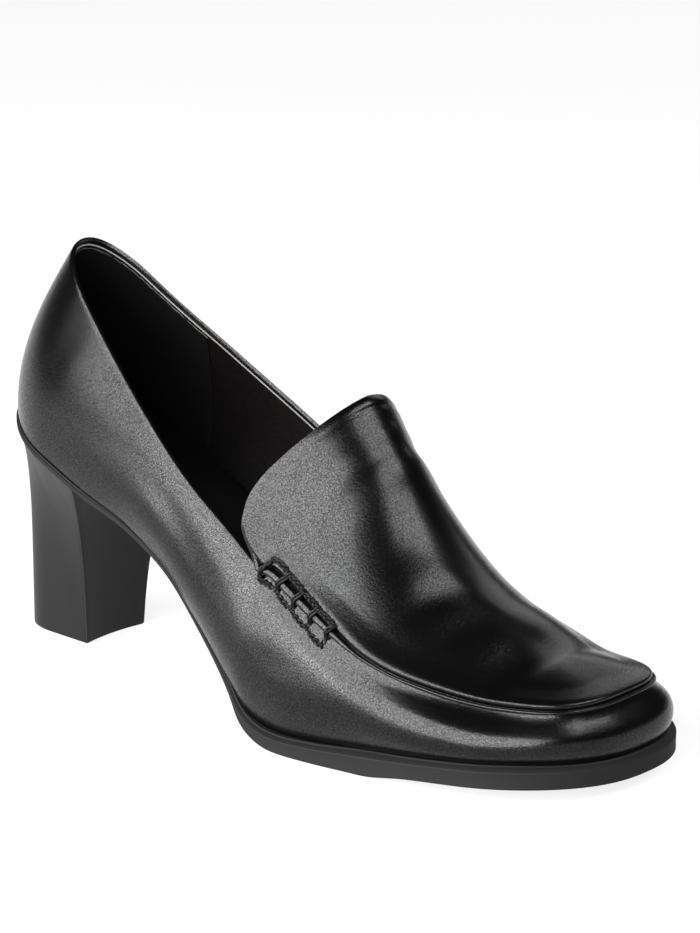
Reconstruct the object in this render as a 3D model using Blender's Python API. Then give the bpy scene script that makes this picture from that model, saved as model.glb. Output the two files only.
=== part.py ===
"""A loafer pump for the right foot: block heel, apron front with a high tongue, corded side seams.

The shoe stands on z = 0 with its toe towards +X and its outer side towards -Y. Sizes and tables are in
millimetres, measured along X from the back of the heel seat, and the meshes are made in metres.
"""

import bmesh
import bpy
import numpy as np

MM = 0.001


def table(columns, *rows):
    """A short table as named columns."""
    return dict(zip(columns.split(), np.array(rows, float).T))


# Driving sizes
LENGTH = 231.4
WALL = 1.6
GAP = 0.3
INSOLE = 2.0
APRON = 1.1
APRON_BEAD = 0.7
CORD = 1.8
SHARP_EDGE = 40.0

# Stations along each side from heel to toe, and the one where collar and apron seam meet
STATIONS = 44
THROAT = 21
WALL_ROWS = 8
BULGE_POWER = 0.85
DENSE = 800

# Feather line, where the upper meets the sole. share is of LENGTH, outer and inner run sideways, bulge is
# how far the wall swells past its edges, reach is the sole's ledge and tread the height of its underside.
# Either end is rounded off by a radius and a power
FEATHER_THROAT = 0.52
FEATHER_HEEL = (28.0, 2.0)
FEATHER_TOE = (35.0, 2.5)
FEATHER = table(
    "share outer inner height bulge reach tread",
    (0.00, -21.5, 24.0, 74.0, 5.0, 0.7, 72.4),
    (0.10, -25.0, 25.0, 66.0, 3.8, 0.7, 64.4),
    (0.20, -27.3, 24.5, 57.8, 3.8, 0.6, 56.0),
    (0.30, -28.5, 22.5, 50.5, 3.8, 0.0, 48.4),
    (0.37, -29.5, 21.0, 41.2, 3.8, -0.4, 39.2),
    (0.43, -30.4, 20.5, 28.2, 4.0, 0.0, 26.2),
    (0.50, -33.5, 22.5, 14.1, 4.0, 0.9, 11.5),
    (0.53, -35.0, 24.6, 8.7, 4.2, 2.0, 4.7),
    (0.56, -35.9, 26.9, 6.2, 4.3, 2.8, 1.5),
    (0.60, -36.2, 30.3, 5.2, 4.5, 3.0, 0.0),
    (0.65, -35.3, 34.8, 5.7, 4.7, 2.9, 0.0),
    (0.72, -32.8, 39.7, 7.1, 5.0, 2.7, 0.0),
    (0.79, -30.9, 42.7, 8.7, 5.0, 2.7, 2.5),
    (0.87, -26.3, 44.0, 10.3, 4.6, 2.8, 3.9),
    (0.94, -20.2, 43.6, 11.2, 3.8, 3.0, 4.6),
    (1.00, -14.3, 42.8, 11.2, 2.6, 3.0, 4.8),
)

# Top edge of that wall: the collar from heel to throat, then the apron seam round the toe
TOP_START = 21.6
TOP_END = LENGTH - 3.7
TOP_THROAT = 0.51
TOP_HEEL = (16.0, 2.2)
TOP_TOE = (19.0, 3.3)
TOP = table(
    "share outer inner height",
    (0.00, -10.1, 11.9, 127.2),
    (0.02, -11.6, 12.1, 124.4),
    (0.10, -17.6, 15.4, 112.1),
    (0.22, -25.0, 23.3, 93.7),
    (0.36, -31.5, 30.5, 73.5),
    (0.48, -32.5, 33.5, 57.0),
    (0.51, -32.6, 33.8, 52.4),
    (0.535, -32.6, 34.0, 52.0),
    (0.57, -32.7, 34.2, 48.2),
    (0.62, -32.8, 34.3, 42.7),
    (0.71, -32.2, 34.5, 33.8),
    (0.80, -27.3, 35.0, 28.5),
    (0.90, -19.4, 33.3, 25.8),
    (1.00, -10.9, 33.0, 26.2),
)

# Arch of the instep over the chord between the two seams: how far it rises and leans to the toe, and the
# power of its rounding. Past FAN the ribs spread from one middle round the toe
FAN = 0.90
ARCH = table(
    "share rise lean power",
    (TOP_THROAT, 34.4, 21.1, 1.91),
    (0.535, 30.0, 19.8, 1.94),
    (0.62, 23.2, 12.9, 2.04),
    (0.71, 17.7, 8.5, 2.05),
    (0.82, 13.1, 2.8, 2.15),
    (FAN, 7.4, 0.8, 2.1),
    (1.00, 7.4, 0.8, 1.35),
)

# Free tongue behind the throat, from its root to its end: where the chord and the arch go, and how far the
# rounded corner is drawn in, as a share of the half chord
TONGUE = table(
    "chord_x chord_z rise lean narrow corner",
    (0.0, 0.0, 34.4, 21.1, 0.0, 0.00),
    (-5.0, 8.5, 30.1, 23.2, -0.3, 0.00),
    (-7.4, 14.2, 28.5, 22.7, -0.1, 0.02),
    (-9.0, 17.8, 27.1, 22.7, 0.7, 0.09),
    (-8.8, 19.9, 26.0, 21.6, 1.9, 0.18),
    (-8.3, 21.2, 25.0, 20.5, 2.5, 0.28),
)
TONGUE_ROWS = len(TONGUE["rise"]) - 1

# Rows of the apron from its edge to the middle: the distance in from the edge, then the share of what is
# left past the bead, and the apron's thickness there
BEAD_WIDTH = 4.0
APRON_EDGE = 0.55
APRON_ROWS = table(
    "edge rest height",
    (0.0, 0.00, APRON_EDGE),
    (1.0, 0.00, APRON + APRON_BEAD),
    (2.4, 0.00, APRON + APRON_BEAD),
    (BEAD_WIDTH, 0.00, APRON),
    (BEAD_WIDTH, 0.20, APRON),
    (BEAD_WIDTH, 0.42, APRON),
    (BEAD_WIDTH, 0.64, APRON),
    (BEAD_WIDTH, 0.83, APRON),
    (BEAD_WIDTH, 1.00, APRON),
)

# Side profile of the outsole down its sloping ledge to the rim and the tread: how far it stands in from the
# rim, scaled by the sole's thickness over SOLE_FULL, and how far down it is as a share of that thickness
SOLE_FULL = 6.5
SOLE_SIDE = table(
    "inset drop",
    (2.5, 0.00),
    (1.2, 0.05),
    (0.3, 0.14),
    (0.0, 0.20),
    (0.0, 0.94),
    (0.5, 1.00),
)

# Heel: breast at the seat and at the base, base outline, and how fast the column tapers down its height
BREAST_TOP = 43.0
BASE_BACK = 1.4
BASE_BREAST = 32.6
BASE_OUTER = -11.7
BASE_INNER = 13.2
BASE_ROUND = (15.0, 2.3)
HEEL_SIDE = 11
HEEL_CROWD = 1.6
BREAST_HOLLOW = 1.2
BREAST_STEPS = 6
HEEL_DROP = table(
    "drop back front",
    (0.00, 0.00, 0.00),
    (0.10, 0.38, 0.22),
    (0.22, 0.70, 0.44),
    (0.38, 0.92, 0.65),
    (0.58, 1.00, 0.83),
    (0.80, 1.00, 0.94),
    (1.00, 1.00, 1.00),
)

# Cord ladder over the seam: where it starts past the throat, its length, half width, number of bars and the
# stations it may use, how far its middle stands in from the seam at its start and its end, how its bars
# slant, then how high the cord lies, its thickness along its edges, and what it rests on across the seam
LADDER_START = 1.7
LADDER = 29.8
LADDER_HALF = 3.7
BARS = 5
LADDER_STATIONS = 17
LADDER_IN = (0.9, -1.7)
LADDER_SLANT = 0.29
CORD_LIFT = 0.45
CORD_EDGE = 0.55
BEAD_SIDE = 1.5
OVER_APRON = GAP + APRON
OVER_BEAD = OVER_APRON + APRON_BEAD
REST = table(
    "across lift",
    (-2.6, 0.0),
    (-1.2, 0.9),
    (0.0, 1.9),
    (1.0, OVER_BEAD),
    (2.4, OVER_BEAD),
    (BEAD_WIDTH, OVER_APRON),
)


def smooth(rows, column, share):
    """A curve through a table's column: cubic pieces that don't overshoot where it turns or levels off."""
    at, value = rows["share"], rows[column]
    step = np.diff(at)
    slope = np.diff(value) / step
    inner = (slope[:-1] * step[1:] + slope[1:] * step[:-1]) / (step[1:] + step[:-1])
    inner[slope[:-1] * slope[1:] <= 0] = 0
    tangent = np.concatenate([slope[:1], inner, slope[-1:]])
    share = np.clip(share, at[0], at[-1])
    k = np.clip(np.searchsorted(at, share, side="right") - 1, 0, len(step) - 1)
    t = (share - at[k]) / step[k]
    start = (1 + 2 * t) * (1 - t) ** 2 * value[k] + t * (1 - t) ** 2 * step[k] * tangent[k]
    end = t**2 * (3 - 2 * t) * value[k + 1] + t**2 * (t - 1) * step[k] * tangent[k + 1]
    return start + end


def rounding(distance, radius, power):
    """Share of the full half width at a distance from a rounded end."""
    left = 1 - np.clip(distance / radius, 0, 1)
    return (1 - left**power) ** (1 / power)


def unit(vectors):
    return vectors / np.maximum(np.linalg.norm(vectors, axis=-1, keepdims=True), 1e-9)


def lengths(curve):
    """Distance along a curve to each of its points."""
    return np.concatenate([[0], np.cumsum(np.linalg.norm(np.diff(curve, axis=0), axis=1))])


def pick(values, length, wanted):
    """Values along a curve at the wanted lengths."""
    return np.stack([np.interp(wanted, length, values[:, k]) for k in range(3)], -1)


class Edge:
    """A closed edge round the shoe, kept as both its sides and as one ring of stations."""

    def __init__(self, rows, start, end, throat, heel, toe):
        self.rows, self.start, self.end, self.throat = rows, start, end, throat
        self.heel, self.toe = heel, toe
        outer, outer_share = self.side(-1)
        inner, inner_share = self.side(1)
        self.ring = np.concatenate([outer, inner[-2:0:-1]])
        share = (outer_share + inner_share) / 2
        self.share = np.concatenate([share, share[-2:0:-1]])

    def points(self, share, side):
        x = self.start + (self.end - self.start) * share
        outer, inner, height = (smooth(self.rows, name, share) for name in ("outer", "inner", "height"))
        half = (inner - outer) / 2 * rounding(x - self.start, *self.heel) * rounding(self.end - x, *self.toe)
        return np.stack([x, (outer + inner) / 2 + side * half, height], -1)

    def side(self, side):
        """One side from the middle of the heel to the middle of the toe, evenly spaced on either half."""
        share = (1 - np.cos(np.linspace(0, np.pi, DENSE))) / 2
        length = lengths(self.points(share, side))
        middle = np.interp(self.throat, share, length)
        back = np.linspace(0, middle, THROAT + 1)
        front = np.linspace(middle, length[-1], STATIONS - THROAT + 1)
        at = np.interp(np.concatenate([back, front[1:]]), length, share)
        return self.points(at, side), at

    def outward(self):
        """Level direction away from the shoe at each station of the ring."""
        along = np.roll(self.ring, -1, axis=0) - np.roll(self.ring, 1, axis=0)
        return unit(np.stack([along[:, 1], -along[:, 0], 0 * along[:, 0]], -1))


def grid_faces(index, closed=False):
    """Quads over a grid of point numbers, rows by columns."""
    if closed:
        index = np.concatenate([index, index[:, :1]], axis=1)
    corners = index[:-1, :-1], index[:-1, 1:], index[1:, 1:], index[1:, :-1]
    return np.stack(corners, -1).reshape(-1, 4)


def normals_of(points, faces):
    """Point normals of a sheet, each face counting by its area."""
    a, b, c, d = (points[faces[:, k]] for k in range(4))
    across = np.cross(c - a, d - b)
    normals = np.zeros_like(points)
    for k in range(4):
        np.add.at(normals, faces[:, k], across)
    return unit(normals)


class Leather:
    """Outer skin of the upper: a wall from the feather line to the top edge, the apron and the tongue."""

    def __init__(self):
        self.feather = Edge(FEATHER, 0, LENGTH, FEATHER_THROAT, FEATHER_HEEL, FEATHER_TOE)
        self.top = Edge(TOP, TOP_START, TOP_END, TOP_THROAT, TOP_HEEL, TOP_TOE)
        wall = self.wall()
        apron = self.apron()
        points = np.concatenate([wall.reshape(-1, 3), apron.reshape(-1, 3)])
        _, first, same = np.unique(np.round(points, 4), axis=0, return_index=True, return_inverse=True)
        same = same.reshape(-1)
        self.points = points[first]
        self.wall_index = same[: wall.size // 3].reshape(wall.shape[:2])
        self.apron_index = same[wall.size // 3 :].reshape(apron.shape[:2])
        self.apron_faces = grid_faces(self.apron_index)
        self.faces = np.concatenate([grid_faces(self.wall_index, closed=True), self.apron_faces])
        self.normals = normals_of(self.points, self.faces)

    def wall(self):
        """Rows of rings from the feather line up to the top edge."""
        outward = self.feather.outward()
        bulge = smooth(FEATHER, "bulge", self.feather.share)[:, None]
        rows = []
        for share in np.linspace(0, 1, WALL_ROWS + 1):
            straight = self.feather.ring * (1 - share) + self.top.ring * share
            rows.append(straight + outward * bulge * np.sin(np.pi * share**BULGE_POWER))
        return np.array(rows)

    def apron(self):
        """Rows from the seam to the middle, by columns from one end of the tongue round the toe to the other."""
        ribs = []
        for column in range(THROAT, 2 * STATIONS - THROAT + 1):
            share = self.top.share[column]
            arch = [smooth(ARCH, name, share) for name in ("rise", "lean", "power")]
            ribs.append(self.rib(self.chord_middle(min(share, FAN)), self.top.ring[column], *arch))
        outer = [self.tongue_rib(row, THROAT) for row in range(TONGUE_ROWS, 0, -1)]
        inner = [self.tongue_rib(row, -THROAT) for row in range(1, TONGUE_ROWS + 1)]
        return np.array(outer + ribs + inner).transpose(1, 0, 2)

    def chord_middle(self, share):
        x = TOP_START + (TOP_END - TOP_START) * share
        outer, inner, height = (smooth(TOP, name, share) for name in ("outer", "inner", "height"))
        return np.array([x, (outer + inner) / 2, height])

    def rib(self, middle, edge, rise, lean, power, corner=0.0):
        """One arched rib from the edge to the middle of the apron."""
        share = np.linspace(1 - corner, 0, DENSE)[:, None]
        curve = middle + (edge - middle) * share + np.array([lean, 0, rise]) * (1 - share**power)
        length = lengths(curve)
        wanted = APRON_ROWS["edge"] + APRON_ROWS["rest"] * (length[-1] - BEAD_WIDTH)
        return pick(curve, length, wanted)

    def tongue_rib(self, row, column):
        get = {name: values[row] for name, values in TONGUE.items()}
        shift = np.array([get["chord_x"], 0, get["chord_z"]])
        share = self.top.share[column]
        edge = self.top.ring[column] + shift
        edge[1] -= np.sign(edge[1]) * get["narrow"]
        middle = self.chord_middle(share) + shift
        return self.rib(middle, edge, get["rise"], get["lean"], ARCH["power"][0], get["corner"])


def mesh_object(name, points, faces, material, root):
    """An object from points in millimetres and faces that may repeat a corner."""
    mesh = bpy.data.meshes.new(name)
    shape = bmesh.new()
    verts = [shape.verts.new(point * MM) for point in points]
    for face in faces:
        corners = [verts[i] for i in dict.fromkeys(int(i) for i in face)]
        parts = [corners[:3], [*corners[2:], corners[0]]] if len(corners) == 4 else [corners]
        for part in parts:
            if len(part) > 2:
                shape.faces.new(part)
    bmesh.ops.delete(shape, geom=[v for v in shape.verts if not v.link_faces], context="VERTS")
    bmesh.ops.recalc_face_normals(shape, faces=shape.faces[:])
    shape.to_mesh(mesh)
    shape.free()
    mesh.shade_smooth()
    mesh.set_sharp_from_angle(angle=np.radians(SHARP_EDGE))
    mesh.materials.append(material)
    obj = bpy.data.objects.new(name, mesh)
    obj.parent = root
    bpy.context.scene.collection.objects.link(obj)
    return obj


def slab(name, points, normals, faces, low, high, material, root):
    """A solid between two offsets of a sheet, closed along the sheet's free edges."""
    count = len(points)
    below = points + normals * np.reshape(low, (-1, 1))
    above = points + normals * np.reshape(high, (-1, 1))
    ends = np.concatenate([faces[:, [k, (k + 1) % 4]] for k in range(4)])
    ends = ends[ends[:, 0] != ends[:, 1]]
    _, index, uses = np.unique(np.sort(ends, axis=1), axis=0, return_index=True, return_counts=True)
    free = ends[index[uses == 1]]
    rim = np.stack([free[:, 1], free[:, 0], free[:, 0] + count, free[:, 1] + count], -1)
    shell = np.concatenate([faces + count, faces[:, [0, 3, 2, 1]], rim])
    return mesh_object(name, np.concatenate([below, above]), shell, material, root)


def lofted(name, rings, material, root):
    """A solid through closed rings of stations, its ends filled straight across from side to side."""
    rings = np.array(rings)
    count = rings.shape[1]
    index = np.arange(rings.shape[0] * count).reshape(rings.shape[:2])
    outer = np.arange(count // 2)
    ladder = np.stack([outer, outer + 1, (count - outer - 1) % count, (count - outer) % count], -1)
    faces = np.concatenate([grid_faces(index, closed=True), index[0][ladder], index[-1][ladder]])
    return mesh_object(name, rings.reshape(-1, 3), faces, material, root)


def make_upper(leather, material, root):
    zero = np.zeros(len(leather.points))
    slab("upper", leather.points, leather.normals, leather.faces, zero - WALL, zero, material, root)


def make_apron(leather, material, root):
    height = np.zeros(len(leather.points))
    height[leather.apron_index] = APRON_ROWS["height"][:, None]
    low = np.full(len(height), GAP)
    slab("apron", leather.points, leather.normals, leather.apron_faces, low, low + height, material, root)


def make_outsole(leather, material, root):
    edge = leather.feather
    outward = edge.outward()
    x_share = edge.ring[:, 0] / LENGTH
    reach = smooth(FEATHER, "reach", x_share)[:, None]
    top = edge.ring[:, 2:] - GAP
    thick = top - smooth(FEATHER, "tread", x_share)[:, None]
    rings = []
    for inset, drop in zip(SOLE_SIDE["inset"], SOLE_SIDE["drop"]):
        ring = edge.ring + outward * (reach - inset * thick / SOLE_FULL)
        ring[:, 2:] = top - thick * drop
        rings.append(ring)
    lofted("outsole", rings, material, root)


def make_insole(leather, material, root):
    edge = leather.feather
    inset = edge.ring - edge.outward() * (WALL + 2 * GAP)
    lofted("insole", [inset + [0, 0, INSOLE], inset], material, root)


def heel_outline(points, breast_outer, breast_inner):
    """A ring round the heel: the outer side, the back, the inner side, then across the breast."""
    across = np.linspace(0, 1, BREAST_STEPS + 1)[1:-1, None]
    breast = breast_inner + (breast_outer - breast_inner) * across
    breast[:, :1] -= BREAST_HOLLOW * 4 * across * (1 - across)
    return np.concatenate([points, breast])


def heel_side(edge_points, end_share):
    """Both sides of a rounded outline from the breast back to the heel's middle and out again."""
    turn = np.linspace(0, 1, HEEL_SIDE + 1) ** HEEL_CROWD * end_share
    outer = edge_points(turn, -1)
    inner = edge_points(turn, 1)
    return np.concatenate([outer[::-1], inner[1:]])


def base_points(share, side):
    """Points along one side of the heel's base, from its back to its breast."""
    depth = (BASE_BREAST - BASE_BACK) * share
    half = (BASE_INNER - BASE_OUTER) / 2 * rounding(depth, *BASE_ROUND)
    return np.stack([BASE_BACK + depth, (BASE_OUTER + BASE_INNER) / 2 + side * half, 0 * depth], -1)


def make_heel(leather, material, root):
    seat = heel_side(leather.feather.points, BREAST_TOP / LENGTH)
    base = heel_side(base_points, 1)
    top = heel_outline(seat, seat[0], seat[-1])
    bottom = heel_outline(base, base[0], base[-1])
    top[:, 2] = smooth(FEATHER, "tread", top[:, 0] / LENGTH) - GAP
    rings = []
    forward = np.clip(top[:, :1] / BREAST_TOP, 0, 1)
    for drop, back, front in zip(HEEL_DROP["drop"], HEEL_DROP["back"], HEEL_DROP["front"]):
        taper = back * (1 - forward) + front * forward
        ring = top * (1 - taper) + bottom * taper
        ring[:, 2] = top[:, 2] * (1 - drop)
        rings.append(ring)
    rings = np.array(rings)
    count = rings.shape[1]
    index = np.arange(rings.size // 3).reshape(rings.shape[:2])
    sides = np.arange(HEEL_SIDE)
    mirrored = 2 * HEEL_SIDE - sides
    ladder = np.stack([sides, sides + 1, mirrored - 1, mirrored], -1)
    seat_faces = index[0][ladder]
    faces = [*grid_faces(index, closed=True), *seat_faces, list(index[-1])]
    breast = [index[0][0], index[0][2 * HEEL_SIDE], *index[0][2 * HEEL_SIDE + 1 : count]]
    mesh_object("heel", rings.reshape(-1, 3), [*faces, breast], material, root)


def make_lacing(name, leather, side, material, root):
    """A ladder of cord over the apron seam: two rails, and bars that slant across them."""
    half = CORD / 2
    bars = LADDER_START + np.linspace(half, LADDER - half, BARS)
    windows = (bars[1:] + bars[:-1]) / 2
    run = np.sort(np.concatenate([bars - half, bars, bars + half, windows]))
    rail = np.array([-half, 0, half])
    out = np.concatenate([rail - LADDER_HALF, [-BEAD_SIDE, 0, BEAD_SIDE], rail + LADDER_HALF])
    near_bar = np.abs(run[:, None] - bars).min(axis=1)
    near_rail = np.abs(np.abs(out) - LADDER_HALF)
    from_cord = np.minimum(near_bar[:, None], near_rail)
    thick = CORD * np.where(from_cord < half / 2, 1.0, CORD_EDGE)
    along = run[:, None] + LADDER_SLANT * out
    across = np.interp(run, [run[0], run[-1]], LADDER_IN)[:, None] + out
    points, normals = on_leather(leather, side, along.reshape(-1), across.reshape(-1))
    faces = grid_faces(np.arange(along.size).reshape(along.shape))
    cell_bar = np.maximum(near_bar[:-1], near_bar[1:]) < CORD
    cell_rail = np.maximum(near_rail[:-1], near_rail[1:]) < CORD
    cord = (cell_bar[:, None] | cell_rail).reshape(-1)
    low = np.interp(across, REST["across"], REST["lift"]).reshape(-1) + CORD_LIFT
    slab(name, points, normals, faces[cord], low, low + thick.reshape(-1), material, root)


def on_leather(leather, side, along, across):
    """Points and normals of the skin at distances along the seam from the throat and across it."""
    picked = np.arange(THROAT, THROAT + LADDER_STATIONS)
    ring = picked if side < 0 else 2 * STATIONS - picked
    apron = picked - THROAT + TONGUE_ROWS
    if side > 0:
        apron = leather.apron_index.shape[1] - 1 - apron
    ribs = np.concatenate([leather.wall_index[:, ring], leather.apron_index[1:, apron]])
    station = lengths(leather.points[ribs[WALL_ROWS]])
    points, normals = [], []
    for place, reach in zip(along, across):
        k = np.searchsorted(station, place) - 1
        share = (place - station[k]) / (station[k + 1] - station[k])
        rib, facing = (
            values[ribs[:, k]] * (1 - share) + values[ribs[:, k + 1]] * share
            for values in (leather.points, leather.normals)
        )
        length = lengths(rib)
        wanted = [reach + length[WALL_ROWS]]
        points.append(pick(rib, length, wanted)[0])
        normals.append(unit(pick(facing, length, wanted)[0]))
    return np.array(points), np.array(normals)


def material(name, colour, roughness):
    made = bpy.data.materials.new(name)
    made.use_nodes = True
    shader = made.node_tree.nodes["Principled BSDF"]
    shader.inputs["Base Color"].default_value = (*colour, 1)
    shader.inputs["Roughness"].default_value = roughness
    shader.inputs["Metallic"].default_value = 0.0
    return made


def main():
    for obj in list(bpy.data.objects):
        bpy.data.objects.remove(obj)
    root = bpy.data.objects.new("shoe", None)
    bpy.context.scene.collection.objects.link(root)
    leather = Leather()
    make_upper(leather, material("quarter_leather", (0.012, 0.012, 0.013), 0.42), root)
    make_apron(leather, material("apron_leather", (0.012, 0.012, 0.013), 0.38), root)
    make_outsole(leather, material("sole_rubber", (0.02, 0.02, 0.02), 0.7), root)
    make_insole(leather, material("sock_leather", (0.01, 0.01, 0.011), 0.6), root)
    make_heel(leather, material("heel_cover", (0.016, 0.016, 0.017), 0.4), root)
    cord = material("waxed_cord", (0.009, 0.009, 0.01), 0.55)
    make_lacing("side_lacing_outer", leather, -1, cord, root)
    make_lacing("side_lacing_inner", leather, 1, cord, root)
    corners = np.array([v.co for obj in root.children for v in obj.data.vertices])
    middle = (corners.min(axis=0) + corners.max(axis=0)) / 2
    root.location = (-middle[0], -middle[1], 0)


main()
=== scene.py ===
"""Looks for a loafer pump: leather upper, apron with its ridge seam, cord ladders, lining, sole and heel.

The shoe's shape comes from short tables in millimetres, measured along X from the back of the heel seat, and
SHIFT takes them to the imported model's frame. Pieces are grid primitives laid over points of the skin.
"""

import math

import bpy
import numpy as np
from mathutils import Matrix, Quaternion, Vector


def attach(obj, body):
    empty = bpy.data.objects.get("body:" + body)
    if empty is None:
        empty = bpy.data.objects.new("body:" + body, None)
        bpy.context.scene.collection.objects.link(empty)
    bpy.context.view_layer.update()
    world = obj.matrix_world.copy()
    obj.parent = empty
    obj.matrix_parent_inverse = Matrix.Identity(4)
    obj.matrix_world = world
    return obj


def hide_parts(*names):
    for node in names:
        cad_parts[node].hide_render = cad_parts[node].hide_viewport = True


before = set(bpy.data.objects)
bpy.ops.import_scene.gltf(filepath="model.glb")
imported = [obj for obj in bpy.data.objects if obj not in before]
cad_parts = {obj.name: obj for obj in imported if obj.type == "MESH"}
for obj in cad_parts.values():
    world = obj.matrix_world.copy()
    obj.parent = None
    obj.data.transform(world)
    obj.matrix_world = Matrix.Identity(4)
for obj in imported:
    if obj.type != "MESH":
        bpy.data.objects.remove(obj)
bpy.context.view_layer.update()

bl_info = {
    "name": "Loafer pump",
    "version": (1, 0, 0),
    "blender": (4, 5, 0),
    "location": "3D View > Sidebar > Shoe",
    "description": "Leather, cord, lining, sole and studio of a loafer pump",
    "category": "Object",
}

# Metres in a millimetre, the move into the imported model's frame, and how meshes merge, shade and sample
MM = 0.001
SHIFT = np.array([-116.85, -3.704, 0.0])
WELD = 2e-7
SMOOTH_ANGLE = math.radians(38)
DENSE = 800


def table(columns, *rows):
    """A short table as named columns."""
    return dict(zip(columns.split(), np.array(rows, float).T))


# Feather line, where the upper meets the sole, and the wall's swell, the sole's ledge and its underside
LENGTH = 231.4
GAP = 0.3
FEATHER_THROAT = 0.52
FEATHER_HEEL = (28.0, 2.0)
FEATHER_TOE = (35.0, 2.5)
FEATHER = table(
    "share outer inner height bulge reach tread",
    (0.00, -21.5, 24.0, 74.0, 5.0, 0.7, 72.4),
    (0.10, -25.0, 25.0, 66.0, 3.8, 0.7, 64.4),
    (0.20, -27.3, 24.5, 57.8, 3.8, 0.6, 56.0),
    (0.30, -28.5, 22.5, 50.5, 3.8, 0.0, 48.4),
    (0.37, -29.5, 21.0, 41.2, 3.8, -0.4, 39.2),
    (0.43, -30.4, 20.5, 28.2, 4.0, 0.0, 26.2),
    (0.50, -33.5, 22.5, 14.1, 4.0, 0.9, 11.5),
    (0.53, -35.0, 24.6, 8.7, 4.2, 2.0, 4.7),
    (0.56, -35.9, 26.9, 6.2, 4.3, 2.8, 1.5),
    (0.60, -36.2, 30.3, 5.2, 4.5, 3.0, 0.0),
    (0.65, -35.3, 34.8, 5.7, 4.7, 2.9, 0.0),
    (0.72, -32.8, 39.7, 7.1, 5.0, 2.7, 0.0),
    (0.79, -30.9, 42.7, 8.7, 5.0, 2.7, 2.5),
    (0.87, -26.3, 44.0, 10.3, 4.6, 2.8, 3.9),
    (0.94, -20.2, 43.6, 11.2, 3.8, 3.0, 4.6),
    (1.00, -14.3, 42.8, 11.2, 2.6, 3.0, 4.8),
)
BULGE_POWER = 0.85
ROW_CROWD = 1.5
TRIM_RUN = 4.0

# Top edge of the wall: the collar from heel to throat, then the apron seam round the toe
TOP_START = 21.6
TOP_END = LENGTH - 3.7
TOP_THROAT = 0.51
TOP_HEEL = (16.0, 2.2)
TOP_TOE = (19.0, 3.3)
TOP = table(
    "share outer inner height",
    (0.00, -10.1, 11.9, 127.2),
    (0.02, -11.6, 12.1, 124.4),
    (0.10, -17.6, 15.4, 112.1),
    (0.22, -25.0, 23.3, 93.7),
    (0.36, -31.5, 30.5, 73.5),
    (0.48, -32.5, 33.5, 57.0),
    (0.51, -32.6, 33.8, 52.4),
    (0.535, -32.6, 34.0, 52.0),
    (0.57, -32.7, 34.2, 48.2),
    (0.62, -32.8, 34.3, 42.7),
    (0.71, -32.2, 34.5, 33.8),
    (0.80, -27.3, 35.0, 28.5),
    (0.90, -19.4, 33.3, 25.8),
    (1.00, -10.9, 33.0, 26.2),
)

# Arch of the instep, and the free tongue from its root to its end
FAN = 0.90
ARCH = table(
    "share rise lean power",
    (TOP_THROAT, 34.4, 21.1, 1.91),
    (0.535, 30.0, 19.8, 1.94),
    (0.62, 23.2, 12.9, 2.04),
    (0.71, 17.7, 8.5, 2.05),
    (0.82, 13.1, 2.8, 2.15),
    (FAN, 7.4, 0.8, 2.1),
    (1.00, 7.4, 0.8, 1.35),
)
TONGUE = table(
    "share chord_x chord_z rise lean narrow corner",
    (0.00, 0.0, 0.0, 34.4, 21.1, 0.0, 0.00),
    (0.30, -5.0, 8.5, 30.1, 23.2, -0.3, 0.00),
    (0.60, -7.4, 14.2, 28.5, 22.7, -0.1, 0.02),
    (0.80, -9.0, 17.8, 27.1, 22.7, 0.7, 0.09),
    (0.92, -8.8, 19.9, 26.0, 21.6, 1.9, 0.18),
    (1.00, -8.3, 21.2, 25.0, 20.5, 2.5, 0.28),
)

# Columns of the coarsest skin: stations from heel to toe, the throat's own, and steps up the tongue. A grid
# says how many times finer a piece is, and the rows of its wall
STATIONS = 44
THROAT_STATION = 21
TONGUE_STEPS = 5
FINE_GRID = (4, 32)
LINING_GRID = (2, 20)
SOLE_GRID = (4, 4)
SOCK_GRID = (3, 4)
HEEL_GRID = (2, 4)

# Rows of the skin under the apron: distances in from the seam, then even shares of the rest
NEAR_SEAM = np.array([0.0, 0.75, 1.5, 2.25, 3.0, 4.0, 5.0, 6.5, 8.0])
REST_ROWS = 18

# Section of the apron's edge, from underneath, over the ridge and the groove to the apron's own shoulder: the
# distance in from the seam, the height there, and the height along the tongue's free edge. The ridge is a
# thick roll at the throat and thins along the seam
APRON_EDGE = table(
    "edge height free",
    (0.30, 0.10, 0.10),
    (-0.05, 0.02, 0.10),
    (-0.36, 0.22, 0.20),
    (-0.42, 0.60, 0.45),
    (-0.22, 0.93, 0.75),
    (0.10, 1.05, 1.02),
    (0.38, 0.93, 1.22),
    (0.54, 0.66, 1.30),
    (0.68, 0.46, 1.34),
    (0.84, 0.50, 1.38),
    (0.96, 0.85, 1.40),
    (1.10, 1.40, 1.40),
    (1.36, 1.86, 1.40),
    (1.80, 2.12, 1.40),
    (2.50, 2.18, 1.40),
    (3.60, 2.08, 1.40),
    (5.40, 1.78, 1.40),
    (8.00, 1.45, 1.40),
)
GROOVE = 0.68
RIDGE = table(
    "share scale",
    (0.0, 2.2),
    (5.0, 2.8),
    (20.0, 2.8),
    (31.0, 2.3),
    (40.0, 1.4),
    (75.0, 1.15),
    (110.0, 1.0),
    (200.0, 0.9),
)
RIDGE_LIFT = 0.6
EDGE_SAMPLES = 52
APRON_TOP = 1.40
APRON_UNDER = 0.10

# The tongue's free edge: the radius and turns of its rolled end, and the share where the ridge fades out
TONGUE_ROLL = 0.7
ROLL_TURNS = np.radians([25, 50, 72, 90])
FREE_RUN = 0.15

# How the wall draws in under the ridge and swells below it, by the distance down from the seam
PUFF = table(
    "share push",
    (0.0, 0.0),
    (0.9, -0.15),
    (2.2, -0.20),
    (4.5, 0.05),
    (8.5, 0.50),
    (13.0, 0.35),
    (22.0, 0.0),
)
PUFF_RUN = 14.0

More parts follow.
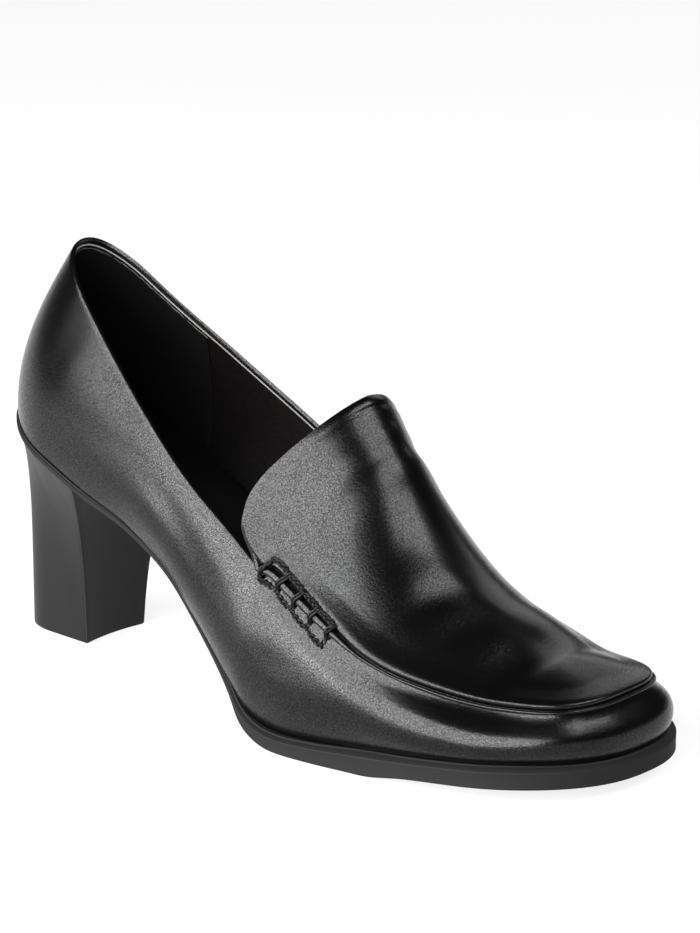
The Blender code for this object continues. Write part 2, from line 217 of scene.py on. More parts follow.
# How far the collar folds inwards, by the distance down from its edge
FOLD = table("share push", (0.0, 0.75), (0.3, 0.36), (0.8, 0.12), (1.7, 0.0))
FOLD_RUN = 6.0

# Creases: place, heading in degrees, half length, half width and push, on the apron seen from above
# and on the quarters seen from the side, where they fade towards the top edge
CREASE_BOW = 0.012
CREASE_FADE = 8.0
SIDE_FACING = 0.5
VAMP_CREASES = table(
    "along across heading reach width push",
    (176.0, -13.0, 58.0, 15.0, 3.6, -0.50),
    (170.0, -9.0, 60.0, 14.0, 4.0, 0.32),
    (188.0, -8.0, 64.0, 17.0, 4.2, -0.34),
    (182.0, -5.0, 62.0, 15.0, 3.6, 0.28),
    (184.0, 16.0, 112.0, 15.0, 4.0, -0.34),
    (197.0, 4.0, 82.0, 20.0, 5.0, -0.22),
    (150.0, -18.0, 48.0, 12.0, 6.0, -0.22),
)
SIDE_CREASES = table(
    "along across heading reach width push",
    (92.0, 62.0, -38.0, 22.0, 4.5, -0.40),
    (99.0, 68.0, -38.0, 22.0, 5.0, 0.30),
    (84.0, 54.0, -40.0, 18.0, 4.0, 0.22),
    (112.0, 44.0, -50.0, 14.0, 4.5, -0.30),
    (34.0, 94.0, 70.0, 14.0, 5.0, -0.22),
    (146.0, 27.0, -12.0, 16.0, 4.5, -0.22),
)

# Side profile of the outsole from under the upper, over its ledge to its tread, and how far it rises to seal
SOLE_FULL = 6.5
SOLE_SIDE = table(
    "inset drop seal",
    (2.6, 0.0, 0.40),
    (2.3, 0.0, 0.36),
    (2.0, 0.01, 0.10),
    (1.3, 0.045, 0.0),
    (0.70, 0.09, 0.0),
    (0.34, 0.125, 0.0),
    (0.18, 0.135, 0.0),
    (0.06, 0.155, 0.0),
    (0.0, 0.20, 0.0),
    (0.03, 0.32, 0.0),
    (0.06, 0.55, 0.0),
    (0.04, 0.78, 0.0),
    (0.0, 0.92, 0.0),
    (0.14, 0.965, 0.0),
    (0.5, 1.00, 0.0),
)
SOLE_SAMPLES = 44
SOLE_CAP_ROWS = 16

# Heel: breast at the seat and at the base, base outline, and how the column tapers
BREAST_TOP = 43.0
BASE_BACK = 1.4
BASE_BREAST = 32.6
BASE_OUTER = -11.7
BASE_INNER = 13.2
BASE_ROUND = (15.0, 2.3)
HEEL_SIDE = 34
HEEL_CROWD = 1.6
BREAST_HOLLOW = 1.2
BREAST_STEPS = 12
HEEL_RINGS = 34
HEEL_DROP = table(
    "share back front",
    (0.00, 0.00, 0.00),
    (0.10, 0.38, 0.22),
    (0.22, 0.70, 0.44),
    (0.38, 0.92, 0.65),
    (0.58, 1.00, 0.83),
    (0.80, 1.00, 0.94),
    (1.00, 1.00, 1.00),
)

# Seams of the heel's cover: they stop just off the floor and are thinner than the lining's edge
SEAM_STOP = 0.4
SEAM_THIN = 0.6

# Cord ladder over the seam: its start past the throat, length, half width and bars, where its middle stands
# in from the seam at either end, and how its bars slant. Rails: how they are plaited, bow between the bars,
# are pinched at each and rise in strands. Bars: how far they reach over the rails, tuck in and rise, and the
# spread and half turns of their two strands
LADDER_START = 1.7
LADDER = 29.8
LADDER_HALF = 3.7
BARS = 5
LADDER_IN = (0.9, -1.7)
LADDER_SLANT = 0.29
RAIL_TURNS = 1.35
RAIL_SWAY = 0.62
RAIL_BOW = 0.35
RAIL_END = 0.2
RAIL_PINCH = 1.3
RAIL_RISE = (1.75, 0.75)
RAIL_SAMPLES = 170
BAR_END = 0.9
BAR_OVER = 0.8
BAR_TUCK = 0.40
BAR_RISE = (1.15, 0.5)
BAR_OVER_RAIL = 1.5
BAR_SAMPLES = 44
MIDDLE_BAR = (0.42, 0.0)
END_BAR = (0.55, 4.0)
LADDER_STATIONS = 17

# How high a cord rests over the wall, the ridge and the apron, by the distance across the seam
REST = table(
    "share lift",
    (-9.0, 0.0),
    (-2.2, 0.02),
    (-1.2, 0.9),
    (-0.5, 1.7),
    (0.3, 2.0),
    (1.5, 2.05),
    (3.0, 2.2),
    (5.0, 1.9),
    (8.5, 1.45),
)

# Sock: how far its edge stands in from the feather line, how its top edge rounds off, and its hollow
SOCK_INSET = 1.45
SOCK_LEAN = 0.35
SOCK_ROUND = 0.3
SOCK_HOLLOW = 0.4
SOCK_CAP_ROWS = 20

# Lining and heel grip: how far below the collar they end, their clearances, where the lining's cut edge stops
# short of the throat, and the grip's columns, the weight of its back in its height, and its frayed edge
LINING_TRIM = 2.4
LINING_CLEAR = 0.05
EDGE_STOP = 3
GRIP_TRIM = 3.4
GRIP_CLEAR = 0.12
GRIP_HALF = 34
GRIP_COLUMNS = 81
GRIP_BACK = 0.4
GRIP_SEED = 5
FRAY_LIFT = 0.5
FRAY_SWELL = (0.8, 0.45)

# Rounded edges: the share of a sheet's thickness
COLLAR_ROUND = 0.42
GRIP_ROUND = 0.4

# Front edge of the heel grip: how far forward it comes at each height
GRIP_EDGE = table(
    "share reach",
    (55.0, 52.0),
    (64.0, 52.4),
    (78.0, 54.0),
    (90.0, 56.4),
    (100.0, 59.0),
    (110.0, 61.5),
)

# Leather: roughness of its gloss and depth of its grain
LEATHER_ROUGHNESS = 0.2
LEATHER_DEPTH = 0.00006

# Studio: floor, then each light's name and level, azimuth, elevation, distance, width, height and roll
FLOOR_SIZE = 14
WHITE = (1, 1, 1, 1)
LIGHT_TARGET = Vector((0.0, 0.0, 0.06))
LIGHTS = (
    ("side_box", "side_light", -1, 20, 0.95, 1.95, 0.90, -11),
    ("low_box", "low_light", -32, -4, 0.40, 0.25, 0.09, 0),
    ("front_box", "front_light", 104, 44, 1.10, 0.90, 0.48, 0),
    ("back_panel", "back_light", 202, 30, 1.60, 1.40, 0.90, 0),
)
SENSOR = 36
CLIP = (0.05, 50)


def smooth(rows, column, share):
    """A curve through a table's column: cubic pieces that don't overshoot where it turns or levels off."""
    at, value = rows["share"], rows[column]
    step = np.diff(at)
    slope = np.diff(value) / step
    inner = (slope[:-1] * step[1:] + slope[1:] * step[:-1]) / (step[1:] + step[:-1])
    inner[slope[:-1] * slope[1:] <= 0] = 0
    tangent = np.concatenate([slope[:1], inner, slope[-1:]])
    share = np.clip(share, at[0], at[-1])
    k = np.clip(np.searchsorted(at, share, side="right") - 1, 0, len(step) - 1)
    t = (share - at[k]) / step[k]
    start = (1 + 2 * t) * (1 - t) ** 2 * value[k] + t * (1 - t) ** 2 * step[k] * tangent[k]
    end = t**2 * (3 - 2 * t) * value[k + 1] + t**2 * (t - 1) * step[k] * tangent[k + 1]
    return start + end


def profile(rows, count):
    """A table's columns along one smooth curve of evenly many points."""
    first = next(iter(rows.values()))
    spread = {"share": np.linspace(0, 1, len(first)), **rows}
    share = np.linspace(0, 1, count)
    return {name: smooth(spread, name, share) for name in rows}


def ramp(values, low, high):
    """Soft step from 0 at low to 1 at high."""
    t = np.clip((values - low) / (high - low), 0, 1)
    return t * t * (3 - 2 * t)


def rounding(distance, radius, power):
    """Share of the full half width at a distance from a rounded end."""
    left = 1 - np.clip(distance / radius, 0, 1)
    return (1 - left**power) ** (1 / power)


def unit(vectors):
    return vectors / np.maximum(np.linalg.norm(vectors, axis=-1, keepdims=True), 1e-9)


def lengths(curve):
    """Distance along a curve to each of its points."""
    return np.concatenate([[0], np.cumsum(np.linalg.norm(np.diff(curve, axis=0), axis=1))])


def pick(values, length, wanted):
    """Values along a curve at the wanted lengths."""
    return np.stack([np.interp(wanted, length, values[:, k]) for k in range(3)], -1)


class Edge:
    """A closed edge round the shoe, kept as both its sides and as one ring of stations."""

    def __init__(self, rows, start, end, throat, heel, toe, stations, throat_station):
        self.rows, self.start, self.end, self.throat = rows, start, end, throat
        self.heel, self.toe = heel, toe
        self.stations, self.throat_station = stations, throat_station
        outer, outer_share = self.side(-1)
        inner, inner_share = self.side(1)
        self.ring = np.concatenate([outer, inner[-2:0:-1]])
        share = (outer_share + inner_share) / 2
        self.share = np.concatenate([share, share[-2:0:-1]])

    def points(self, share, side):
        """Points of the outer side (-1), the inner side (1) or midway (0), at shares of the length."""
        x = self.start + (self.end - self.start) * share
        outer, inner, height = (smooth(self.rows, name, share) for name in ("outer", "inner", "height"))
        half = (inner - outer) / 2 * rounding(x - self.start, *self.heel) * rounding(self.end - x, *self.toe)
        return np.stack([x, (outer + inner) / 2 + side * half, height], -1)

    def side(self, side):
        """One side from the middle of the heel to the middle of the toe, evenly spaced on either half."""
        share = (1 - np.cos(np.linspace(0, np.pi, DENSE))) / 2
        length = lengths(self.points(share, side))
        middle = np.interp(self.throat, share, length)
        back = np.linspace(0, middle, self.throat_station + 1)
        front = np.linspace(middle, length[-1], self.stations - self.throat_station + 1)
        at = np.interp(np.concatenate([back, front[1:]]), length, share)
        return self.points(at, side), at

    def outward(self):
        """Level direction away from the shoe at each station of the ring."""
        along = np.roll(self.ring, -1, axis=0) - np.roll(self.ring, 1, axis=0)
        return unit(np.stack([along[:, 1], -along[:, 0], 0 * along[:, 0]], -1))


def grid_faces(index, closed=False):
    """Quads over a grid of point numbers, rows by columns."""
    if closed:
        index = np.concatenate([index, index[:, :1]], axis=1)
    corners = index[:-1, :-1], index[:-1, 1:], index[1:, 1:], index[1:, :-1]
    return np.stack(corners, -1).reshape(-1, 4)


def normals_of(points, faces):
    """Point normals of a sheet, each face counting by its area."""
    a, b, c, d = (points[faces[:, k]] for k in range(4))
    across = np.cross(c - a, d - b)
    normals = np.zeros_like(points)
    for k in range(4):
        np.add.at(normals, faces[:, k], across)
    return unit(normals)


class Skin:
    """Outer skin of the upper: a wall from the feather line to the top edge, the apron and the tongue."""

    def __init__(self, fine, wall_rows, trim=0.0):
        self.stations, self.throat = STATIONS * fine, THROAT_STATION * fine
        self.tongue_rows = TONGUE_STEPS * fine
        ends = (self.stations, self.throat)
        self.feather = Edge(FEATHER, 0, LENGTH, FEATHER_THROAT, FEATHER_HEEL, FEATHER_TOE, *ends)
        self.top = Edge(TOP, TOP_START, TOP_END, TOP_THROAT, TOP_HEEL, TOP_TOE, *ends)
        self.past_throat = self.run_past_throat()
        wall = self.wall(1 - np.linspace(1, 0, wall_rows + 1) ** ROW_CROWD, trim)
        apron = self.apron()
        points = np.concatenate([wall.reshape(-1, 3), apron.reshape(-1, 3)])
        _, first, same = np.unique(np.round(points, 4), axis=0, return_index=True, return_inverse=True)
        same = same.reshape(-1)
        self.points = points[first]
        self.wall_index = same[: wall.size // 3].reshape(wall.shape[:2])
        self.apron_index = same[wall.size // 3 :].reshape(apron.shape[:2])
        self.faces = np.concatenate([grid_faces(self.wall_index, closed=True), grid_faces(self.apron_index)])
        self.normals = normals_of(self.points, self.faces)

    def run_past_throat(self):
        """Distance along the top edge from the throat towards the toe, less than 0 on the collar."""
        length = lengths(self.top.ring[: self.stations + 1])
        run = length - length[self.throat]
        return np.concatenate([run, run[-2:0:-1]])

    def wall(self, share, trim):
        """Rows of rings from the feather line up to the top edge, or to the trim below it on the collar."""
        outward = self.feather.outward()
        bulge = smooth(FEATHER, "bulge", self.feather.share)
        height = np.linalg.norm(self.top.ring - self.feather.ring, axis=1)
        top = 1 - trim / height * ramp(-self.past_throat, 0, TRIM_RUN)
        part = (share[:, None] * top)[:, :, None]
        swell = bulge[:, None] * np.sin(np.pi * part**BULGE_POWER)
        return self.feather.ring * (1 - part) + self.top.ring * part + outward * swell

    def apron(self):
        """Rows from seam to middle, by columns from one end of the tongue round the toe to the other."""
        ribs = []
        for column in range(self.throat, 2 * self.stations - self.throat + 1):
            share = self.top.share[column]
            arch = [smooth(ARCH, name, share) for name in ("rise", "lean", "power")]
            ribs.append(self.rib(self.top.points(min(share, FAN), 0), self.top.ring[column], *arch))
        runs = np.linspace(0, 1, self.tongue_rows + 1)[1:]
        outer = [self.tongue_rib(run, self.throat) for run in runs[::-1]]
        inner = [self.tongue_rib(run, -self.throat) for run in runs]
        return np.array(outer + ribs + inner).transpose(1, 0, 2)

    def rib(self, middle, edge, rise, lean, power, corner=0.0):
        """One arched rib from the edge to the middle of the apron."""
        share = np.linspace(1 - corner, 0, DENSE)[:, None]
        curve = middle + (edge - middle) * share + np.array([lean, 0, rise]) * (1 - share**power)
        length = lengths(curve)
        rest = np.linspace(NEAR_SEAM[-1], length[-1], REST_ROWS + 1)[1:]
        return pick(curve, length, np.concatenate([NEAR_SEAM, rest]))

    def tongue_rib(self, run, column):
        """One rib of the free tongue, at a share of its length."""
        get = {name: smooth(TONGUE, name, run) for name in TONGUE}
        shift = np.array([get["chord_x"], 0, get["chord_z"]])
        edge = self.top.ring[column] + shift
        edge[1] -= np.sign(edge[1]) * get["narrow"]
        middle = self.top.points(self.top.share[column], 0) + shift
        return self.rib(middle, edge, get["rise"], get["lean"], ARCH["power"][0], get["corner"])

    def push(self, amount):
        """Moves the skin along its normals."""
        self.points = self.points + self.normals * np.reshape(amount, (-1, 1))
        self.normals = normals_of(self.points, self.faces)

    def work(self):
        """Gives the skin its folded collar, its drawn-in seam, its swell below it and its creases."""
        amount = np.zeros(len(self.points))
        rows = self.points[self.wall_index[::-1]]
        steps = np.linalg.norm(np.diff(rows, axis=0), axis=2)
        down = np.concatenate([0 * steps[:1], np.cumsum(steps, axis=0)])[::-1]
        amount[self.wall_index] += smooth(PUFF, "push", down) * ramp(self.past_throat, 0, PUFF_RUN)
        amount[self.wall_index] -= smooth(FOLD, "push", down) * ramp(-self.past_throat, 0, FOLD_RUN)
        top = np.zeros(len(self.points), bool)
        top[self.apron_index] = True
        x, y, z = self.points.T
        amount += np.where(top, creases(VAMP_CREASES, x, y), 0)
        quarter = ~top & (np.abs(self.normals[:, 1]) > SIDE_FACING)
        edge = np.ones(len(self.points))
        edge[self.wall_index] = ramp(down, 0, CREASE_FADE)
        amount += np.where(quarter, creases(SIDE_CREASES, x, z) * edge, 0)
        self.push(amount)


def creases(rows, u, v):
    """Soft troughs and ridges over two level directions."""
    total = np.zeros_like(u)
    for k in range(len(rows["along"])):
        get = {name: values[k] for name, values in rows.items()}
        heading = math.radians(get["heading"])
        du, dv = u - get["along"], v - get["across"]
        along = du * math.cos(heading) + dv * math.sin(heading)
        across = dv * math.cos(heading) - du * math.sin(heading) + CREASE_BOW * along**2
        total += get["push"] * np.exp(-((along / get["reach"]) ** 2) - (across / get["width"]) ** 2)
    return total


def deselect():
    """Leaves edit mode and selects nothing."""
    if bpy.context.object and bpy.context.object.mode != "OBJECT":
        bpy.ops.object.mode_set(mode="OBJECT")
    bpy.ops.object.select_all(action="DESELECT")


def choose(piece):
    """Makes a piece the only one selected, and active."""
    deselect()
    piece.select_set(True)
    bpy.context.view_layer.objects.active = piece


def lay_grid(name, points, closed=False):
    """A grid primitive laid over rows by columns of points in the shoe's millimetres."""
    if closed:
        points = np.concatenate([points, points[:, :1]], axis=1)
    rows, columns = points.shape[:2]
    deselect()
    bpy.ops.mesh.primitive_grid_add(x_subdivisions=columns - 1, y_subdivisions=rows - 1, size=0.1)
    piece = bpy.context.object
    piece.name = piece.data.name = name
    piece.data.vertices.foreach_set("co", ((points + SHIFT) * MM).reshape(-1))
    piece.data.update()
    return piece


def joined(pieces):
    """One piece from several."""
    deselect()
    for piece in pieces:
        piece.select_set(True)
    bpy.context.view_layer.objects.active = pieces[0]
    bpy.ops.object.join()
    return pieces[0]


def weld(piece, fill=False):
    """Merges meeting points, closes holes where asked and turns the faces outwards."""
    choose(piece)
    bpy.ops.object.mode_set(mode="EDIT")
    bpy.ops.mesh.select_all(action="SELECT")
    bpy.ops.mesh.remove_doubles(threshold=WELD)
    bpy.ops.mesh.dissolve_degenerate(threshold=WELD)
    if fill:
        bpy.ops.mesh.fill_holes(sides=0)
        bpy.ops.mesh.select_all(action="SELECT")
    bpy.ops.mesh.normals_make_consistent(inside=False)
    bpy.ops.object.mode_set(mode="OBJECT")
    return piece


def face_outwards(piece):
    """Flips an open sheet where its face furthest to the outer side looks inwards."""
    far = min(piece.data.polygons, key=lambda face: face.center.y)
    if far.normal.y > 0:
        bpy.ops.object.mode_set(mode="EDIT")
        bpy.ops.mesh.select_all(action="SELECT")
        bpy.ops.mesh.flip_normals()
        bpy.ops.object.mode_set(mode="OBJECT")


def modified(piece, kind, **settings):
    """Adds a modifier and applies it."""
    choose(piece)
    modifier = piece.modifiers.new(kind.title(), kind)
    for name, value in settings.items():
        setattr(modifier, name, value)
    bpy.ops.object.modifier_apply(modifier=modifier.name)


def bevelled(piece, width, segments, angle):
    """Rounds the edges that turn by more than an angle in degrees."""
    limit = math.radians(angle)
    modified(piece, "BEVEL", width=width, segments=segments, limit_method="ANGLE", angle_limit=limit)


def hollow_sheet(name, skin, thickness):
    """The wall and what lies under the apron as one sheet, thickened inwards."""
    wall = lay_grid(name, skin.points[skin.wall_index], closed=True)
    under = lay_grid(name + "_under_apron", skin.points[skin.apron_index])
    piece = weld(joined([wall, under]))
    face_outwards(piece)
    modified(piece, "SOLIDIFY", thickness=thickness, offset=-1)
    return piece


def finish_piece(piece, material, slot, *nodes):
    """Gives the piece its finish and its body, and hides the nodes that it stands for; the slot is not used.
    """
    choose(piece)
    bpy.ops.object.shade_smooth_by_angle(angle=SMOOTH_ANGLE)
    piece.data.materials.clear()
    piece.data.materials.append(material)
    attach(piece, "root")
    if nodes:
        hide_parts(*nodes)
    return piece


class Value:
    """A shader socket that takes part in sums."""

    def __init__(self, finish, socket):
        self.finish, self.socket = finish, socket

    def math(self, operation, first, second):
        return self.finish.node("ShaderNodeMath", {"operation": operation}, {0: first, 1: second})

    def __add__(self, other):
        return self.math("ADD", self, other)

    def __sub__(self, other):
        return self.math("SUBTRACT", self, other)

    def __rsub__(self, other):
        return self.math("SUBTRACT", other, self)

    def __mul__(self, other):
        return self.math("MULTIPLY", self, other)

    def capped(self, other):
        return self.math("MINIMUM", self, other)

    __radd__ = __add__
    __rmul__ = __mul__


class Finish:
    """A procedural material, built node by node."""

    def __init__(self, name, **constants):
        self.material = bpy.data.materials.new(name)
        self.material.use_nodes = True
        self.tree = self.material.node_tree
        self.shader = self.tree.nodes["Principled BSDF"]
        for socket, value in constants.items():
            self.shader.inputs[socket.replace("_", " ")].default_value = value
        self.place = self.node("ShaderNodeTexCoord", {}, {}, "Object")

    def node(self, kind, settings, sockets, output=0):
        """A node of any kind: its settings first, then the values or links of its sockets."""
        made = self.tree.nodes.new(kind)
        for name, value in settings.items():
            setattr(made, name, value)
        for name, value in sockets.items():
            if isinstance(value, Value):
                self.tree.links.new(value.socket, made.inputs[name])
            else:
                made.inputs[name].default_value = value
        return Value(self, made.outputs[output])

    def noise(self, scale, detail=2.0, stretch=(1, 1, 1)):
        place = self.place
        if stretch != (1, 1, 1):
            place = self.node("ShaderNodeMapping", {}, {"Vector": place, "Scale": stretch})
        return self.node("ShaderNodeTexNoise", {}, {"Vector": place, "Scale": scale, "Detail": detail})

    def cells(self, scale):
        return self.node("ShaderNodeTexVoronoi", {}, {"Vector": self.place, "Scale": scale})

    def feed(self, socket, value):
        self.tree.links.new(value.socket, self.shader.inputs[socket])

    def colour(self, factor, colour, darker, lighter):
        """Feeds a base colour that wanders between a darker and a lighter shade."""
        sockets = {"Factor": factor, 6: (*shade(colour, darker), 1.0), 7: (*shade(colour, lighter), 1.0)}
        self.feed("Base Color", self.node("ShaderNodeMix", {"data_type": "RGBA"}, sockets, 2))

    def bump(self, height, depth):
        """Feeds a bump of a depth in metres."""
        sockets = {"Height": height, "Distance": depth, "Strength": 1.0}
        self.feed("Normal", self.node("ShaderNodeBump", {}, sockets))


def shade(colour, factor):
    """A colour made darker or lighter."""
    return tuple(channel * factor for channel in colour)


def leather(name, colour):
    """Smooth calf: a gloss broken by pores, small pebbled cells, and slow changes of both."""
    finish = Finish(name, Specular_IOR_Level=0.11, Coat_Roughness=LEATHER_ROUGHNESS)
    pebble = 1 - (finish.cells(1700.0) * 1.25).capped(1.0)
    pore = finish.noise(3000.0, 1.0)
    slow = finish.noise(46.0, 3.0)
    wave = finish.noise(120.0, 2.0)
    finish.colour(slow, colour, 0.8, 1.25)
    finish.feed("Roughness", LEATHER_ROUGHNESS - 0.02 + slow * 0.08)
    finish.feed("Coat Weight", pore * 2.0 + slow * 0.2 - 0.85)
    finish.bump(pebble * 0.7 + pore * 0.5 + wave * 0.5, LEATHER_DEPTH)
    return finish.material


def make_leather(sizes, colours):
    """Outer skin in one hollow wall, with its folded collar."""
    skin = Skin(*FINE_GRID)
    skin.work()
    piece = hollow_sheet("upper_leather", skin, sizes.leather)
    bevelled(piece, sizes.leather * COLLAR_ROUND, 3, 60)
    return finish_piece(piece, leather("quarter_leather", colours.leather), "quarter_leather", "upper")


def over_ribs(points, normals, edge, height):
    """Points over ribs at distances in from their edge, or out past it, and at heights there."""
    laid = np.empty((*edge.shape, 3))
    for column in range(edge.shape[1]):
        rib, facing = points[:, column], normals[:, column]
        length = lengths(rib)
        inside = np.maximum(edge[:, column], 0)
        outside = np.maximum(-edge[:, column], 0)
        place = pick(rib, length, inside) + unit(rib[0] - rib[2]) * outside[:, None]
        laid[:, column] = place + unit(pick(facing, length, inside)) * height[:, column : column + 1]
    return laid


def make_apron(sizes, colours):
    """Apron and tongue facing: ridge, groove and shoulder along the seam, a rolled end on the tongue."""
    skin = Skin(*FINE_GRID)
    skin.work()
    ribs, facing = skin.points[skin.apron_index], skin.normals[skin.apron_index]
    tongue = skin.tongue_rows
    ring = np.arange(skin.throat, 2 * skin.stations - skin.throat + 1)
    free = np.concatenate([np.linspace(1, 0, tongue + 1)[:-1], 0 * ring, np.linspace(0, 1, tongue + 1)[1:]])
    free = ramp(free, 0, FREE_RUN)
    run = np.concatenate([np.zeros(tongue), skin.past_throat[ring], np.zeros(tongue)])
    scale = smooth(RIDGE, "scale", run) * (1 - free) + free
    section = {name: values[:, None] for name, values in profile(APRON_EDGE, EDGE_SAMPLES).items()}
    ridge = section["edge"] <= GROOVE
    inwards = np.where(ridge, section["edge"] * scale, section["edge"] + GROOVE * (scale - 1))
    raised = section["height"] * np.where(ridge, scale**RIDGE_LIFT, 1)
    edge_height = raised * (1 - free) + section["free"] * free
    rest = slice(len(NEAR_SEAM), None)
    top = ribs[rest] + facing[rest] * APRON_TOP
    under = ribs[:0:-1] + facing[:0:-1] * APRON_UNDER
    edge = over_ribs(ribs, facing, inwards, edge_height)
    sheet = np.concatenate([under, edge, top])
    heights = np.concatenate([under[:, :, 0] * 0 + APRON_UNDER, edge_height, top[:, :, 0] * 0 + APRON_TOP])
    piece = weld(lay_grid("apron_leather", rolled_ends(sheet, heights, len(top))), fill=True)
    return finish_piece(piece, leather("apron_leather", colours.leather), "apron_leather", "apron")


def rolled_ends(sheet, heights, matched):
    """Adds columns that roll both ends of a layered sheet round to where its layers meet."""
    middle = (APRON_TOP + APRON_UNDER) / 2
    made = []
    for end, before in ((0, 1), (-1, -2)):
        base, inner = sheet[:, end], sheet[:, before]
        out = unit(base - inner)
        lift = unit(np.cross(np.gradient(base, axis=0), out))
        lift = lift * np.sign(lift[:, 2:])
        turns = []
        for turn in ROLL_TURNS:
            fall = (heights[:, end] - middle) * (np.cos(turn) - 1)
            turns.append(base + out * TONGUE_ROLL * np.sin(turn) + lift * fall[:, None])
        meeting = (turns[-1][:matched] + turns[-1][::-1][:matched]) / 2
        turns[-1][:matched] = meeting
        turns[-1][-matched:] = meeting[::-1]
        made.append(np.stack(turns, 1))
    return np.concatenate([made[0][:, ::-1], sheet, made[1]], axis=1)


def make_lining(sizes, colours):
    """Lining inside the wall, up to just below the collar, and under the apron."""
    skin = Skin(*LINING_GRID, trim=LINING_TRIM)
    skin.push(-sizes.leather / MM - LINING_CLEAR)
    piece = hollow_sheet("lining", skin, sizes.lining)
    finish = Finish("lining_leather", Specular_IOR_Level=0.10)
    grain = finish.cells(900.0)
    slow = finish.noise(60.0, 3.0)
    crumb = finish.noise(520.0, 4.0)
    finish.colour(slow, colours.lining, 0.7, 1.3)
    finish.feed("Roughness", 0.50 + crumb * 0.22)
    finish.bump(grain * 0.5 + crumb, 0.00012)
    return finish_piece(piece, finish.material, "sock_leather")


def make_grip(sizes, colours):
    """Soft grip lining round the inside of the heel, its front edges curved and its top edge frayed."""
    skin = Skin(*LINING_GRID, trim=GRIP_TRIM)
    skin.push(-sizes.leather / MM - sizes.lining / MM - GRIP_CLEAR)
    half = GRIP_HALF
    around = np.arange(-half, half + 1)
    lines = skin.points[skin.wall_index[1:, around]]
    rows = []
    for line in lines:
        height = line[half, 2] * GRIP_BACK + line[[0, -1], 2].mean() * (1 - GRIP_BACK)
        reach = smooth(GRIP_EDGE, "reach", height)
        length = lengths(line)
        low = np.interp(-reach, -line[: half + 1, 0], length[: half + 1])
        high = np.interp(reach, line[half:, 0], length[half:])
        rows.append(pick(line, length, np.linspace(low, high, GRIP_COLUMNS)))
    rough = np.random.default_rng(GRIP_SEED).uniform(-1, 1, (2, GRIP_COLUMNS))
    top = rows[-1] + np.outer(rough[0], [0, 0, sizes.grip / MM * FRAY_LIFT])
    fray = cord_piece("grip_edge", [top], sizes.edge, FRAY_SWELL[0] + FRAY_SWELL[1] * rough[1])
    piece = lay_grid("heel_grip", np.array(rows))
    face_outwards(piece)
    modified(piece, "SOLIDIFY", thickness=sizes.grip, offset=-1)
    bevelled(piece, sizes.grip * GRIP_ROUND, 2, 60)
    finish = Finish("grip_suede", Specular_IOR_Level=0.08)
    nap = finish.noise(2400.0, 3.0)
    slow = finish.noise(70.0, 3.0)
    finish.colour(slow, colours.grip, 0.75, 1.25)
    finish.feed("Roughness", 0.72 + nap * 0.15)
    finish.bump(nap + slow * 2.0, 0.00006)
    finish_piece(fray, cut_edge(shade(colours.edge, 0.12)), "sock_leather")
    return finish_piece(piece, finish.material, "sock_leather")


def capped_loft(name, rings, cap_rows, hollow=0.0):
    """A solid through rings, both ends filled by rows straight across, the first a little hollow."""
    half = rings.shape[1] // 2
    inner = -np.arange(half + 1)
    parts = [lay_grid(name, rings, closed=True)]
    across = np.linspace(0, 1, cap_rows + 1)[:, None, None]
    for ring, sag in ((rings[0], hollow), (rings[-1], 0.0)):
        cap = ring[: half + 1] * (1 - across) + ring[inner] * across
        cap[:, :, 2] -= sag * 4 * (across * (1 - across))[:, :, 0]
        parts.append(lay_grid(name + "_cap", cap))
    return weld(joined(parts))


def make_outsole(sizes, colours):
    """Sole in one piece: ledge, grooved side, rounded tread and the thin waist and seat."""
    edge = Skin(*SOLE_GRID).feather
    outward = edge.outward()
    share = edge.ring[:, 0] / LENGTH
    reach = smooth(FEATHER, "reach", share)
    top = edge.ring[:, 2] - GAP
    thick = top - smooth(FEATHER, "tread", share)
    section = profile(SOLE_SIDE, SOLE_SAMPLES)
    rings = []
    for inset, drop, seal in zip(*section.values()):
        ring = edge.ring + outward * (reach - inset * thick / SOLE_FULL)[:, None]
        ring[:, 2] = top - thick * drop + seal
        rings.append(ring)
    piece = capped_loft("sole_unit", np.array(rings), SOLE_CAP_ROWS)
    finish = Finish("sole_rubber", Specular_IOR_Level=0.16)
    mottle = finish.noise(90.0, 4.0)
    fine = finish.noise(2600.0, 2.0)
    scuff = finish.noise(320.0, 4.0, (0.25, 0.25, 1.6))
    finish.colour(mottle * 0.6 + scuff * 0.4, colours.sole, 0.75, 1.3)
    finish.feed("Roughness", 0.56 + scuff * 0.16 + fine * 0.06)
    finish.bump(fine * 0.5 + scuff * 0.8, 0.00005)
    return finish_piece(piece, finish.material, "sole_rubber", "outsole")


def make_sock(sizes, colours):
    """Sock over the insole, a little hollow under the foot, its colour the lining's made darker as painted
    shade inside the shoe.
    """
    edge = Skin(*SOCK_GRID).feather
    inset = edge.ring - edge.outward() * SOCK_INSET
    thick = sizes.sock / MM
    lean = -edge.outward() * SOCK_LEAN
    heights = (thick, thick - SOCK_ROUND, SOCK_ROUND, 0)
    rings = [inset + [0, 0, height] for height in heights]
    rings[0] = rings[0] + lean
    piece = capped_loft("sock", np.array(rings), SOCK_CAP_ROWS, SOCK_HOLLOW)
    finish = Finish("sock_leather", Specular_IOR_Level=0.08)
    grain = finish.cells(1100.0)
    crumb = finish.noise(420.0, 4.0)
    slow = finish.noise(50.0, 3.0)
    # The lining's colour taken darker: painted shade at the bottom of the inside of the shoe
    finish.colour(slow, colours.lining, 0.5, 0.9)
    finish.feed("Roughness", 0.55 + crumb * 0.2)
    finish.bump(grain * 0.5 + crumb, 0.0001)
    return finish_piece(piece, finish.material, "sock_leather", "insole")


def heel_outline(points):
    """A ring round the heel: the outer side, the back, the inner side, then across the hollow breast."""
    across = np.linspace(0, 1, BREAST_STEPS + 1)[1:-1, None]
    breast = points[-1] + (points[0] - points[-1]) * across
    breast[:, :1] -= BREAST_HOLLOW * 4 * across * (1 - across)
    return np.concatenate([points, breast])


